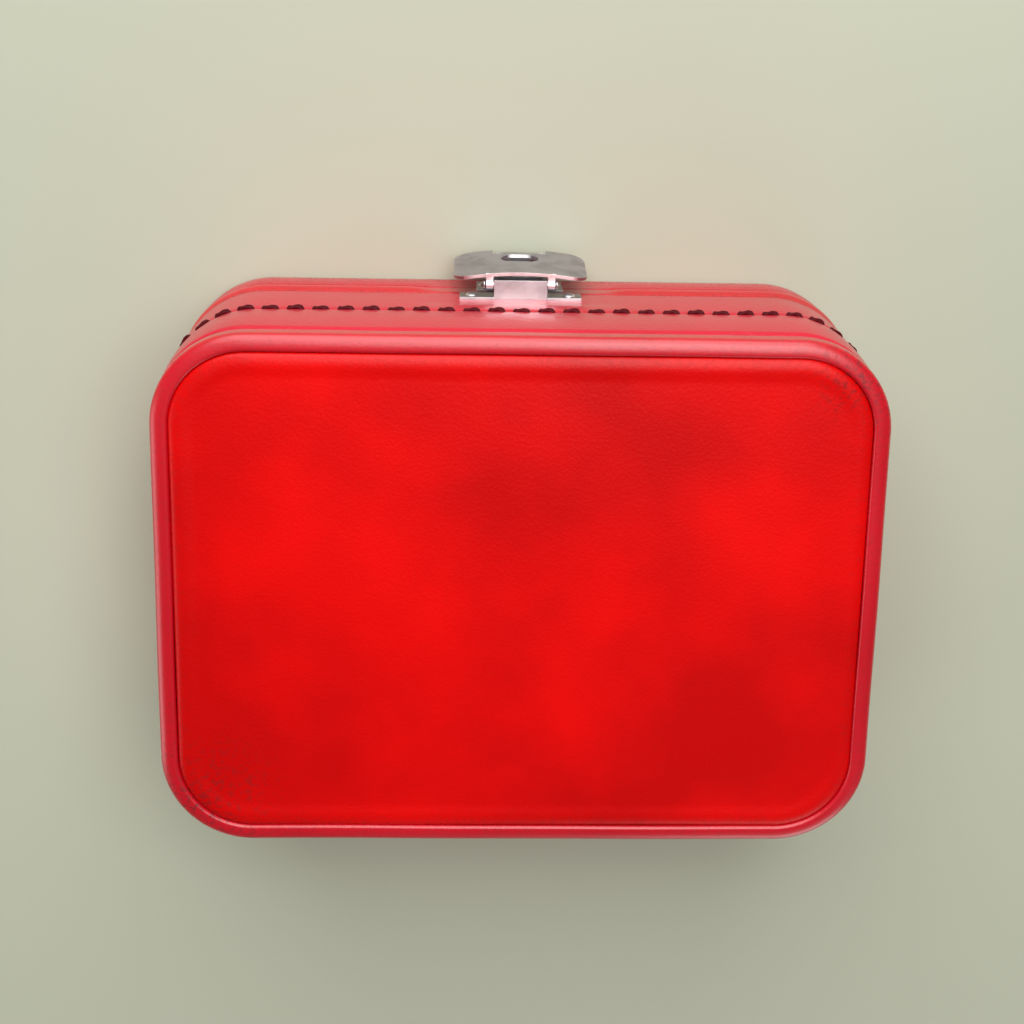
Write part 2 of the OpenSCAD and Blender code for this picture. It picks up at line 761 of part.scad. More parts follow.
// Tray outline set in by `t`: large radius at the front, small at the back
module tray_outline(back, t) {
    w = tray_w / 2 - t;
    y0 = tray_front + t;
    y1 = back - t;
    rf = tray_front_r - t;
    rb = tray_back_r - t;
    translate([-w, y0 + rf]) square([2 * w, y1 - rb - y0 - rf]);
    translate([-w + rf, y0]) square([2 * w - 2 * rf, rf]);
    translate([-w + rb, y1 - rb]) square([2 * w - 2 * rb, rb]);
    for (s = [-1, 1]) {
        translate([s * (w - rf), y0 + rf]) circle(rf);
        translate([s * (w - rb), y1 - rb]) circle(rb);
    }
}

// Tray body with end bores: `run_at` turns on the lid's stud, `fix_at` holds
// the tray's own stud; the children are the divider walls in plan
module tray(z0, back, run_at, fix_at) {
    difference() {
        union() {
            translate([0, 0, z0]) linear_extrude(tray_h) difference() {
                tray_outline(back, 0);
                tray_outline(back, tray_t);
            }
            translate([0, 0, z0]) linear_extrude(tray_floor) tray_outline(back, tray_t / 2);
            translate([0, 0, z0]) linear_extrude(tray_floor + divider_h) intersection() {
                tray_outline(back, tray_t / 2);
                children();
            }
        }
        for (s = [-1, 1]) {
            beside_wall(s, tray_in - 1, tray_t + 2) translate(run_at) circle(stud_r + run);
            beside_wall(s, tray_in - 1, tray_t + 2) translate(fix_at) circle(stud_r);
        }
    }
}

module upper_tray() {
    color([0.92, 0.88, 0.80]) {
        tray(upper_tray_z, upper_tray_back, upper_pivot, upper_end) {
            translate([-tray_w / 2, tray_mid_y]) square([tray_w, tray_t]);
            for (x = [-tray_w / 6, tray_w / 6])
                translate([x - tray_t / 2, tray_front]) square([tray_t, tray_mid_y - tray_front]);
            translate([tray_w / 4, tray_mid_y]) square([tray_t, back_bay]);
        }
        for (y = peg_rows, k = [0 : peg_count - 1])
            translate([-tray_w / 2 + (k + 0.5) * tray_w * 0.75 / peg_count, y, upper_tray_z + tray_floor])
                cylinder(r = peg_r, h = peg_h);
    }
}

module lower_tray() {
    color([0.90, 0.86, 0.78]) tray(lower_tray_z, lower_tray_back, lower_pivot, lower_end) {
        translate([-tray_w / 2, tray_mid_y]) square([tray_w, tray_t]);
        for (k = [-1 : 1])
            translate([k * tray_w / 4 - tray_t / 2, tray_mid_y]) square([tray_t, lower_tray_back - tray_mid_y]);
    }
}

base_shell();
base_cover();
base_binding();
bottom_panel();
base_lining();
base_hinge_leaf_left();
base_hinge_leaf_right();
hinge_pin_left();
hinge_pin_right();
base_leaf_rivets();
catch_plate();
catch_plate_rivets();
base_link_plate_left();
base_link_plate_right();
base_link_rivets();
arm_pivot_studs();
lid_shell();
lid_cover();
lid_rim_bead();
lid_top_pad();
lid_stitching();
lid_lining();
lid_quilted_pad();
lid_hinge_leaf_left();
lid_hinge_leaf_right();
lid_leaf_rivets();
hasp_bracket();
hasp_pin();
bracket_rivets();
lid_link_plate_left();
lid_link_plate_right();
lid_link_rivets();
tray_pivot_studs();
hasp_plate();
catch_button();
upper_tray();
upper_tray_studs();
lower_tray();
lower_tray_studs();
upper_arm_left();
upper_arm_right();
lower_arm_left();
lower_arm_right();
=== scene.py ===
"""A small sewing case in glossy red vinyl, with a satin metal hasp latch, two hinges
and two plastic trays on linkage arms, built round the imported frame. Metres throughout."""

import math

import bmesh
import bpy
import numpy as np
from mathutils import Matrix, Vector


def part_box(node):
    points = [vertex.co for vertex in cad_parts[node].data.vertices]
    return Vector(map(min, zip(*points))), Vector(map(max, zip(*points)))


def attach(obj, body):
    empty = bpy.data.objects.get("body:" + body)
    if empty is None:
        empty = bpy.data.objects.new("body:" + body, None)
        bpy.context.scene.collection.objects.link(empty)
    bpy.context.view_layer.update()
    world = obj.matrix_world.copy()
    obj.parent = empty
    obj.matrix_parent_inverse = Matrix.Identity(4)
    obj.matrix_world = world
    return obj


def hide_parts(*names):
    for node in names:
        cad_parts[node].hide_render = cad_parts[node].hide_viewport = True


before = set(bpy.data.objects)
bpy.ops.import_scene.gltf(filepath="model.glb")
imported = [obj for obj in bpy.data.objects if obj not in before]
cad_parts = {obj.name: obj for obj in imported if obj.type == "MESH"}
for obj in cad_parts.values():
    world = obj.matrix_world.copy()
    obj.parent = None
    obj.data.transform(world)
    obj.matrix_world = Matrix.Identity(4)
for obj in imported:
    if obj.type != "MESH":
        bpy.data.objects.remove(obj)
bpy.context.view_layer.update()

# ---------------------------------------------------------------------- the set
# A plain pale table top, a broad lamp and a high one on the latch side, which give the
# walls and the rim their sheen, on the walls helped by a painted pink sheen in the
# vinyl's colour, and two weak fills beyond the hinges.

MM = 0.001
scene = bpy.context.scene
scene.view_settings.view_transform = "Standard"

floor_size = 12.0
bpy.ops.mesh.primitive_plane_add(size=floor_size, location=(0, 0, 0))
floor = bpy.context.object
floor.name = "table_top"
floor_paint = bpy.data.materials.new("table_top_paint")
floor_paint.use_nodes = True
floor_shader = floor_paint.node_tree.nodes["Principled BSDF"]
floor_shader.inputs["Base Color"].default_value = (0.50, 0.52, 0.40, 1)
floor_shader.inputs["Roughness"].default_value = 0.7
floor.data.materials.append(floor_paint)

room = bpy.data.worlds.new("room")
room.use_nodes = True
room.node_tree.nodes["Background"].inputs["Color"].default_value = (1.0, 0.98, 0.96, 1)
room.node_tree.nodes["Background"].inputs["Strength"].default_value = 0.10
scene.world = room


def lamp(name, place, aim, size, power):
    """A square soft lamp at one point, turned so that it faces another."""
    light = bpy.data.lights.new(name, "AREA")
    light.size = size
    light.energy = power
    holder = bpy.data.objects.new(name, light)
    scene.collection.objects.link(holder)
    away = np.array(place) - np.array(aim)
    away = away / np.linalg.norm(away)
    side = np.cross((0, 0, 1), away)
    side = side / np.linalg.norm(side)
    up = np.cross(away, side)
    turn = Matrix(np.column_stack([side, up, away]).tolist()).to_4x4()
    holder.matrix_world = Matrix.Translation(place) @ turn


case_middle = (0, 0, 0.05)
lamp("window", (0.1, -1.15, 0.85), case_middle, size=1.3, power=20)
lamp("high", (-0.3, -0.6, 1.7), case_middle, size=1.0, power=17)
lamp("fill_left", (1.5, 0.5, 0.45), case_middle, size=0.9, power=6)
lamp("fill_back", (-0.7, 1.7, 0.4), case_middle, size=0.9, power=7)

# The eye stands above the lid, a little beyond the latch side, and looks down on the
# lid's top with the latch wall at the head of the picture.
sensor_mm = 36.0
lens_mm = 59.766
eye_place = (0.0178, -0.2308, 0.6404)
camera = bpy.data.objects.new("eye", bpy.data.cameras.new("eye"))
camera.data.sensor_width = sensor_mm
camera.data.lens = lens_mm
camera.data.shift_x = -0.02
camera.data.shift_y = -0.16
camera.data.clip_start = 0.01
pitch, yaw, roll = math.radians(14.51), math.radians(1.83), math.radians(1.19)
camera.matrix_world = (
    Matrix.Translation(eye_place)
    @ Matrix.Rotation(roll, 4, "Z")
    @ Matrix.Rotation(yaw, 4, "Y")
    @ Matrix.Rotation(pitch, 4, "X")
    @ Matrix.Rotation(math.pi, 4, "Z")
)
scene.collection.objects.link(camera)
scene.camera = camera

# ------------------------------------------------------------- lid wall covering
# The lid's side is one band of glossy pebble-grained vinyl, wrapped over a thin pad and
# glued to the board. The row of stitches pulls it in, it is tight under the metal
# fittings, and it folds under at the mouth and into the crease below the rim.

outer_low, outer_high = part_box("lid_cover")
case_w = outer_high.x - outer_low.x
case_d = outer_high.y - outer_low.y
corner_r = 32 * MM
mouth_z = outer_low.z
crease_z = outer_high.z
seam_low, seam_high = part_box("lid_stitching")
stitch_z = (seam_low.z + seam_high.z) / 2
cover_t = 1.5 * MM
wall_t = 5.3 * MM
tuck = 0.05 * MM


def plan(columns, inset=0.0):
    """The case's plan: a rectangle with round corners, walked at even distance from the
    middle of the latch wall. A core rectangle is walked along its sides while the
    outward direction holds still, then the direction turns a quarter at each corner;
    the outline is the core point plus the corner radius along that direction.
    Returns the points, the outward directions, the distances and the whole length."""
    r = corner_r - inset
    w = case_w / 2 - corner_r
    d = case_d / 2 - corner_r
    q = math.pi * r / 2
    knots = np.cumsum([0, w, q, 2 * d, q, 2 * w, q, 2 * d, q, w])
    core_x = [0, w, w, w, w, -w, -w, -w, -w, 0]
    core_y = [-d, -d, -d, d, d, d, d, -d, -d, -d]
    turn = np.radians([-90, -90, 0, 0, 90, 90, 180, 180, 270, 270])
    s = np.arange(columns) / columns * knots[-1]
    a = np.interp(s, knots, turn)
    out = np.stack([np.cos(a), np.sin(a)], 1)
    core = np.stack([np.interp(s, knots, core_x), np.interp(s, knots, core_y)], 1)
    return core + r * out, out, s, knots[-1]


def closed_piece(name, points, faces):
    """An object made of these points and faces, smooth, with its faces turned outwards."""
    mesh = bpy.data.meshes.new(name)
    mesh.from_pydata(points.tolist(), [], faces)
    work = bmesh.new()
    work.from_mesh(mesh)
    bmesh.ops.recalc_face_normals(work, faces=work.faces)
    work.to_mesh(mesh)
    work.free()
    mesh.shade_smooth()
    piece = bpy.data.objects.new(name, mesh)
    scene.collection.objects.link(piece)
    return piece


def skin(name, grid, loop_rows=True, poles=()):
    """A mesh from a grid of points: columns always close into a loop, rows close too
    when loop_rows is set, and otherwise a pole point may close each end with a fan."""
    columns, rows = grid.shape[:2]
    last = rows if loop_rows else rows - 1
    c, k = np.meshgrid(np.arange(columns), np.arange(last), indexing="ij")
    here, there = c * rows, ((c + 1) % columns) * rows
    up = (k + 1) % rows
    quads = np.stack([here + k, there + k, there + up, here + up], 2).reshape(-1, 4)
    faces = quads.tolist()
    points = grid.reshape(-1, 3)
    for end, pole in poles:
        edge = np.arange(columns) * rows + (rows - 1 if end else 0)
        following = np.roll(edge, -1)
        tip = np.full(columns, len(points))
        fan = np.stack([edge, following, tip] if end else [following, edge, tip], 1)
        faces += fan.tolist()
        points = np.vstack([points, pole])
    return closed_piece(name, points, faces)


def carried(name, out, height):
    """A profile carried round the case: each point lies `out` metres outside the wall
    line (negative is inside) at its height, both given for every column and row."""
    points, outward, _, _ = plan(out.shape[0])
    flat = points[:, None, :] + outward[:, None, :] * out[:, :, None]
    grid = np.concatenate([flat, np.broadcast_to(height, out.shape)[:, :, None]], 2)
    return skin(name, grid)


def mark(piece, name, values):
    """Stores one number per point on the piece, for its material to read."""
    layer = piece.data.attributes.new(name, "FLOAT", "POINT")
    layer.data.foreach_set("value", np.asarray(values, np.float32).ravel())


def smooth_step(low, high, x):
    """0 below low, 1 above high and an S-curve between."""
    t = np.clip((x - low) / (high - low), 0, 1)
    return t * t * (3 - 2 * t)


def hill(x, y, centre, width, depth):
    """A round hill, the bell curve exp(-u^2 - v^2): 1 at its centre, where u and v are
    the distances from the centre in widths and in depths."""
    return np.exp(-(((x - centre[0]) / width) ** 2) - ((y - centre[1]) / depth) ** 2)


def fresh(name):
    """A new material: itself, its tree, its shader and the object's coordinates."""
    paint = bpy.data.materials.new(name)
    paint.use_nodes = True
    tree = paint.node_tree
    place = tree.nodes.new("ShaderNodeTexCoord").outputs["Object"]
    return paint, tree, tree.nodes["Principled BSDF"], place


def noise(tree, place, scale, detail):
    """Soft noise from 0 to 1."""
    cloud = tree.nodes.new("ShaderNodeTexNoise")
    cloud.inputs["Scale"].default_value = scale
    cloud.inputs["Detail"].default_value = detail
    tree.links.new(place, cloud.inputs["Vector"])
    return cloud.outputs["Fac"]


def cells(tree, place, scale, smoothness=0.0):
    """The distance to the nearest of many scattered points."""
    spots = tree.nodes.new("ShaderNodeTexVoronoi")
    spots.inputs["Scale"].default_value = scale
    if smoothness:
        spots.feature = "SMOOTH_F1"
        spots.inputs["Smoothness"].default_value = smoothness
    tree.links.new(place, spots.inputs["Vector"])
    return spots.outputs["Distance"]


def two_tone(tree, number, dark, light, low=0.0, high=1.0):
    """One colour up to `low`, the other from `high` on, and a blend between."""
    ramp = tree.nodes.new("ShaderNodeValToRGB")
    first, last = ramp.color_ramp.elements
    first.position, last.position = low, high
    first.color, last.color = (*dark, 1), (*light, 1)
    tree.links.new(number, ramp.inputs["Fac"])
    return ramp.outputs["Color"]


def spread(tree, number, to_low, to_high, low=0.0, high=1.0):
    """A number's span from low to high, spread from to_low to to_high."""
    span = tree.nodes.new("ShaderNodeMapRange")
    span.inputs["From Min"].default_value = low
    span.inputs["From Max"].default_value = high
    span.inputs["To Min"].default_value = to_low
    span.inputs["To Max"].default_value = to_high
    tree.links.new(number, span.inputs["Value"])
    return span.outputs["Result"]


def reckon(tree, operation, *terms):
    """One sum, each term a constant or the output of another node."""
    node = tree.nodes.new("ShaderNodeMath")
    node.operation = operation
    for socket, term in zip(node.inputs, terms):
        if isinstance(term, float):
            socket.default_value = term
        else:
            tree.links.new(term, socket)
    return node.outputs["Value"]


def overlay(tree, factor, colour, above):
    """A colour with another laid over it where the factor is 1."""
    mix = tree.nodes.new("ShaderNodeMix")
    mix.data_type = "RGBA"
    mix.inputs["B"].default_value = (*above, 1)
    tree.links.new(factor, mix.inputs["Factor"])
    tree.links.new(colour, mix.inputs["A"])
    return mix.outputs["Result"]


def emboss(tree, shader, height, strength, depth):
    """A height turned into a bump on the shader's normal."""
    bump = tree.nodes.new("ShaderNodeBump")
    bump.inputs["Strength"].default_value = strength
    bump.inputs["Distance"].default_value = depth
    tree.links.new(height, bump.inputs["Height"])
    tree.links.new(bump.outputs["Normal"], shader.inputs["Normal"])


def vinyl(name, deep, bright, gloss=0.3, grain=0.26, coat=0.25, coat_rough=0.16, specular=0.4):
    """Pebble-grained vinyl: two reds mixed by broad soft clouds, dark speckled dirt where
    the piece's own mark is high, which in seams, grooves and low on the walls is also
    painted shade, a few pale nicks, and a bump of small rounded cells."""
    paint, tree, shader, place = fresh(name)
    shader.inputs["Coat Weight"].default_value = coat
    shader.inputs["Coat Roughness"].default_value = coat_rough
    shader.inputs["Specular IOR Level"].default_value = specular

    clouds = noise(tree, place, scale=11, detail=4)
    red = two_tone(tree, clouds, deep, bright, low=0.36, high=0.64)
    shade_and_dirt_amount = tree.nodes.new("ShaderNodeAttribute")
    shade_and_dirt_amount.attribute_name = "shade_and_dirt_amount"
    grit = spread(tree, noise(tree, place, scale=620, detail=6), 0, 1, low=0.5, high=0.62)
    # Dark speckled dirt, strongest where the mark is high; in seams, grooves and low on the walls it
    # is also painted shade.
    dirt_and_shade = reckon(tree, "MULTIPLY", grit, shade_and_dirt_amount.outputs["Fac"])
    dirtied_and_shaded = overlay(tree, dirt_and_shade, red, (0.07, 0.008, 0.010))
    nick = reckon(tree, "LESS_THAN", cells(tree, place, scale=34), 0.017)
    nicked = overlay(tree, nick, dirtied_and_shaded, (0.62, 0.20, 0.18))
    tree.links.new(nicked, shader.inputs["Base Color"])

    pebbles = cells(tree, place, scale=900, smoothness=0.6)
    relief = reckon(tree, "MULTIPLY_ADD", noise(tree, place, scale=160, detail=3), 0.6, pebbles)
    emboss(tree, shader, relief, grain, 0.0004)

    rough = spread(tree, clouds, gloss - 0.05, gloss + 0.12)
    dull = reckon(tree, "MULTIPLY_ADD", dirt_and_shade, 0.35, rough)
    tree.links.new(dull, shader.inputs["Roughness"])
    return paint


# The walls' reds lean further to pink than the panel's and the rim's: a painted sheen standing in for
# the light the walls catch from the lamps on the latch side.
wall_red_painted_sheen = vinyl("wall_vinyl_painted_sheen", (0.56, 0.003, 0.024), (0.64, 0.005, 0.034))

wall_columns = 864
wall_points, _, walked, around = plan(wall_columns)


def fitting_flat(points, height):
    """1 where the covering is loose and 0 where a metal fitting holds it flat: under
    the hasp bracket on the latch wall and under the two hinges on the back wall."""
    hinge_x = 72 * MM
    x, y = np.abs(points[:, :1]), points[:, 1:]
    latch = 1 - smooth_step(29 * MM, 41 * MM, x)
    latch = latch * (y < 0) * (1 - smooth_step(42 * MM, 50 * MM, height))
    hinge = 1 - smooth_step(20 * MM, 30 * MM, np.abs(x - hinge_x))
    hinge = hinge * (y > 0) * (1 - smooth_step(46 * MM, 53 * MM, height))
    return 1 - np.clip(latch + hinge, 0, 1)


def stitch_places():
    """Distances walked to the middle of each stitch: every straight wall and every
    corner takes a whole number of equal steps, as near to the pitch as it can."""
    pitch = 9 * MM
    wide, deep = case_w - 2 * corner_r, case_d - 2 * corner_r
    quarter = math.pi * corner_r / 2
    start = -wide / 2
    places = []
    for length in 2 * (wide, quarter, deep, quarter):
        count = round(length / pitch)
        places.append(start + (np.arange(count) + 0.5) * length / count)
        start += length
    return np.concatenate(places)


stitch_length = 6.7 * MM
stitch_s = stitch_places()
holes = np.concatenate([stitch_s - stitch_length / 2, stitch_s + stitch_length / 2])
gap = np.abs((walked[:, None] - holes[None, :] + around / 2) % around - around / 2).min(1)
course = walked[:, None]

face_rows = 78
face_z = np.linspace(mouth_z + 0.6 * MM, crease_z - 0.5 * MM, face_rows)[None, :]
lower = np.clip((face_z - mouth_z) / (stitch_z - mouth_z), 0, 1)
upper = np.clip((face_z - stitch_z) / (crease_z - stitch_z), 0, 1)
lower_puff, upper_puff = 0.55 * MM, 0.8 * MM
puff = lower_puff * np.sin(np.pi * lower) ** 0.7 + upper_puff * np.sin(np.pi * upper) ** 0.8
valley_depth, valley_half = 0.12 * MM, 1.5 * MM
in_valley = np.exp(-(((face_z - stitch_z) / valley_half) ** 2))
dimple = 0.6 * MM * hill(gap[:, None], face_z, (0, stitch_z), 0.8 * MM, 1.0 * MM)
ripple = 0.12 * MM * np.sin(course / (23 * MM)) * np.sin(face_z / (9 * MM) + course / (41 * MM))
edge_roll = 1.2 * MM * (1 - smooth_step(0, 1.5 * MM, face_z - mouth_z))
edge_roll = edge_roll + 1.6 * MM * smooth_step(-2.6 * MM, 0, face_z - crease_z)
loose = fitting_flat(wall_points, face_z)
face_out = loose * (puff + ripple) - valley_depth * in_valley - dimple - edge_roll
cover_in, lip_in, edge_in = cover_t - tuck, wall_t - tuck, cover_t + 0.1 * MM
fold_z = mouth_z + 0.75 * MM
back_out = -np.array([cover_in, cover_in, lip_in, lip_in, edge_in])
back_z = np.array([crease_z, fold_z, fold_z, mouth_z, mouth_z])
wall_out = np.hstack([face_out, np.tile(back_out, (wall_columns, 1))])
wall_z = np.hstack([face_z[0], back_z])[None, :]
lid_wall = carried("lid_wall_vinyl", wall_out, wall_z)
# Dark speckled dirt and painted shade: heavy along the mouth, at the seam with the base, and lighter
# in the groove along the stitch row.
mouth_shade_and_dirt = 0.8 * np.exp(-(((face_z - mouth_z) / (2.2 * MM)) ** 2))
face_shade_and_dirt = np.broadcast_to(mouth_shade_and_dirt + 0.35 * in_valley, face_out.shape)
mark(lid_wall, "shade_and_dirt_amount", np.hstack([face_shade_and_dirt, np.zeros((wall_columns, len(back_z)))]))
lid_wall.data.materials.append(wall_red_painted_sheen)
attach(lid_wall, "lid")
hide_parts("lid_cover")

# ---------------------------------------------------------------- saddle stitches
# Thick waxed thread of two strands, sewn through the covering and the board in one
# running row all round the lid. Each stitch stands proud in its middle and dives into
# a hole at each end.

strand_steps, strand_sides = 20, 10
along = np.linspace(-1, 1, strand_steps)[:, None]
spin = np.arange(strand_sides)[None, :] / strand_sides * 2 * np.pi
thread_r = 0.95 * MM
proud, dive = 0.25 * MM, 1.7 * MM
twist = along * 2.3 + 0.5
taper = 1 - 0.45 * np.abs(along) ** 8
two_ply = 1 + 0.24 * np.cos(2 * (spin - twist))
lobe = thread_r * taper * two_ply
arch = proud - dive * np.abs(along) ** 7
stitch_along = np.broadcast_to(along * stitch_length / 2, lobe.shape)
stitch_out = arch + lobe * np.cos(spin)
stitch_up = 0.8 * lobe * np.sin(spin)

fine = 36000
spots, directions, _, _ = plan(fine)
spot = np.round((stitch_s % around) / around * fine).astype(int) % fine
middle_xy, outwards = spots[spot], directions[spot]
sideways = np.stack([-outwards[:, 1], outwards[:, 0]], 1)
golden_turn = 2.39996
number = np.arange(len(spot))
lean = 1 + 0.12 * np.sin(number * golden_turn)
xy = (
    middle_xy[:, None, None, :]
    + sideways[:, None, None, :] * stitch_along[None, :, :, None]
    + outwards[:, None, None, :] * (stitch_out[None, :, :, None] * lean[:, None, None, None])
)
slope = 0.25 * MM * np.sin(number * 1.7)
height = stitch_z + stitch_up[None] + slope[:, None, None] * along[None]
threads = np.concatenate([xy, height[..., None]], 3).reshape(-1, 3)

k, j = np.meshgrid(np.arange(strand_steps - 1), np.arange(strand_sides), indexing="ij")
next_j = (j + 1) % strand_sides
ring, next_ring = k * strand_sides, (k + 1) * strand_sides
one = np.stack([ring + j, next_ring + j, next_ring + next_j, ring + next_j], 2)
first = (number * strand_steps * strand_sides)[:, None, None]
thread_faces = (one.reshape(1, -1, 4) + first).reshape(-1, 4).tolist()
round_end = np.arange(strand_sides)
ends = np.array([round_end, (strand_steps - 1) * strand_sides + round_end[::-1]])
thread_faces += (ends[None] + first).reshape(-1, strand_sides).tolist()
stitches = closed_piece("saddle_stitches", threads, thread_faces)

thread_paint, thread_tree, thread_shader, thread_place = fresh("waxed_thread")
thread_shader.inputs["Roughness"].default_value = 0.55
thread_shader.inputs["Specular IOR Level"].default_value = 0.15
fibres = noise(thread_tree, thread_place, scale=2200, detail=3)
thread_tone = two_tone(thread_tree, fibres, (0.040, 0.0, 0.002), (0.115, 0.0, 0.005))
thread_tree.links.new(thread_tone, thread_shader.inputs["Base Color"])
emboss(thread_tree, thread_shader, fibres, 0.5, 0.0002)
stitches.data.materials.append(thread_paint)
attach(stitches, "lid")
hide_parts("lid_stitching")

# ---------------------------------------------------------------------- rim bead
# A strip of the same vinyl rolled over a cord and set along the lid's top edge. It
# closes the side covering below and frames the padded panel above.

bead_low, bead_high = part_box("lid_rim_bead")
board_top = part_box("lid_shell")[1].z
bead_top = bead_high.z
bead_width = 6.3 * MM
bead_proud = 0.35 * MM
bead_swell = 0.1 * MM
groove_depth = 1.5 * MM
shoulder_r = 1.3 * MM
outer_r = bead_width - shoulder_r
roll_top = bead_top + bead_swell
roll_z = roll_top - bead_width / 2
bead_columns = 640
bead_xy, _, bead_walked, _ = plan(bead_columns)
bead_course = bead_walked[:, None]

rise = np.linspace(0, 1, 14)[None, :]
side_foot = bead_low.z - 0.3 * MM
side_z = side_foot + rise * (roll_z - side_foot)
side_out = bead_proud - 1.7 * MM * (1 - smooth_step(0, 0.42, rise))
outer_turn = np.linspace(0, np.pi / 2, 16)[None, 1:]
inner_turn = np.linspace(np.pi / 2, np.pi, 12)[None, 1:]
shoulder_out = bead_proud - outer_r
roll_out = np.hstack([
    shoulder_out + outer_r * np.cos(outer_turn),
    shoulder_out + shoulder_r * np.cos(inner_turn),
])
roll_up = np.hstack([
    roll_z + (roll_top - roll_z) * np.sin(outer_turn) ** 0.85,
    roll_top - groove_depth * (1 - np.sin(inner_turn)),
])
under_in = cover_t - 0.1 * MM
under_out = np.array([[bead_proud - bead_width, -under_in, -under_in]])
under_z = np.array([[board_top + 0.2 * MM, board_top + 0.2 * MM, bead_low.z]])
bead_out = np.hstack([side_out, roll_out, under_out])
bead_z = np.hstack([side_z, roll_up, under_z])
wander = 0.10 * MM * np.sin(bead_course / (31 * MM))
wander = wander + 0.06 * MM * np.sin(bead_course / (12 * MM) + 1)
shown = np.hstack([np.ones_like(side_out), np.ones_like(roll_out), np.zeros_like(under_out)])
rim_bead = carried("rim_bead", bead_out + wander * shown, bead_z)

bead_x, bead_y = bead_xy[:, 0], bead_xy[:, 1]
hinge_dirt = hill(bead_x, bead_y, (112 * MM, 80 * MM), 20 * MM, 24 * MM)
latch_dirt = hill(bead_x, bead_y, (-112 * MM, -80 * MM), 14 * MM, 14 * MM)
bead_dirt = 0.1 + 0.5 * hinge_dirt + 0.5 * latch_dirt
mark(rim_bead, "shade_and_dirt_amount", np.repeat(bead_dirt[:, None], bead_z.shape[1], 1))
bead_dark, bead_light = (0.54, 0.001, 0.010), (0.64, 0.003, 0.016)
bead_red = vinyl("bead_vinyl", bead_dark, bead_light, gloss=0.36, grain=0.12, coat=0.7, coat_rough=0.3)
rim_bead.data.materials.append(bead_red)
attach(rim_bead, "lid")
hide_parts("lid_rim_bead")

# --------------------------------------------------------------- padded top panel
# A card covered with wadding and vinyl, pressed into the frame that the rim bead
# makes. Its edge rolls down into the groove and its field is softly crowned.

panel_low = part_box("lid_top_pad")[0]
panel_inset = 6.0 * MM
panel_columns, panel_rings = 560, 84
panel_edge = plan(panel_columns, panel_inset)[0]
panel_half = np.array([case_w / 2 - panel_inset, case_d / 2 - panel_inset])


def depth_inside(xy, half, r):
    """Distance from each point to a rounded rectangle's outline, positive inside."""
    q = np.abs(xy) - (half - r)
    outside = np.hypot(np.maximum(q[..., 0], 0), np.maximum(q[..., 1], 0))
    return r - outside - np.minimum(np.maximum(q[..., 0], q[..., 1]), 0)


def disc(edge, rings, lean_out=1.6):
    """Points of a star-shaped field: the outline scaled towards the middle, with the
    rings closer together near the edge. The first row is the outline."""
    t = 1 - (np.arange(rings) / rings) ** lean_out
    return edge[:, None, :] * t[None, :, None]


field = disc(panel_edge, panel_rings)
field_x, field_y = field[..., 0], field[..., 1]
inside = depth_inside(field, panel_half, corner_r - panel_inset)
edge_base = bead_top - 1.4 * MM
shoulder_w, shoulder_h = 4.4 * MM, 1.75 * MM
crown_h = 1.6 * MM
shoulder = shoulder_h * np.sqrt(1 - (1 - np.clip(inside / shoulder_w, 0, 1)) ** 2)
step_down = 0.45 * MM * smooth_step(4.2 * MM, 9.0 * MM, inside)
crown = crown_h * (1 - (field_x / panel_half[0]) ** 2) * (1 - (field_y / panel_half[1]) ** 2)
dents = 0.13 * MM * np.sin(field_x / (17 * MM) + 1.3 * np.sin(field_y / (29 * MM)))
dents = dents * np.sin(field_y / (21 * MM) + 0.7) * smooth_step(0, 25 * MM, inside)
field_z = edge_base + shoulder - step_down + crown + dents
top = np.concatenate([field, field_z[..., None]], 2)
skirt = np.concatenate([panel_edge, np.full((panel_columns, 1), panel_low.z)], 1)[:, None, :]
panel_grid = np.concatenate([skirt, top], 1)
middle_top = np.array([[0, 0, edge_base + shoulder_h - 0.45 * MM + crown_h]])
middle_low = np.array([[0, 0, panel_low.z]])
panel_ends = [(0, middle_low), (1, middle_top)]
top_panel = skin("top_panel", panel_grid, loop_rows=False, poles=panel_ends)

fx, fy = panel_grid[..., 0], panel_grid[..., 1]
from_edge = np.concatenate([np.zeros((panel_columns, 1)), inside], 1)
edge_dirt = np.exp(-((from_edge / (5 * MM)) ** 2))
hinge_corner = hill(fx, fy, (103 * MM, 72 * MM), 16 * MM, 16 * MM)
latch_corner = hill(fx, fy, (-108 * MM, -76 * MM), 9 * MM, 9 * MM)
panel_wear = np.clip(0.14 * edge_dirt + 0.4 * hinge_corner + 0.4 * latch_corner, 0, 1)
mark(top_panel, "shade_and_dirt_amount", np.append(panel_wear.ravel(), [0, 0]))
panel_finish = {"gloss": 0.38, "grain": 0.16, "coat": 0.15, "coat_rough": 0.3, "specular": 0.16}
panel_red = vinyl("panel_vinyl", (0.56, 0.0, 0.0), (0.86, 0.0, 0.0), **panel_finish)
top_panel.data.materials.append(panel_red)
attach(top_panel, "lid")
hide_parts("lid_top_pad")

# ------------------------------------------------------------- base wall covering
# The shallow base has the same vinyl on its side, turned under at the bottom edge, and
# a rolled binding round its mouth with a crisp groove below it.

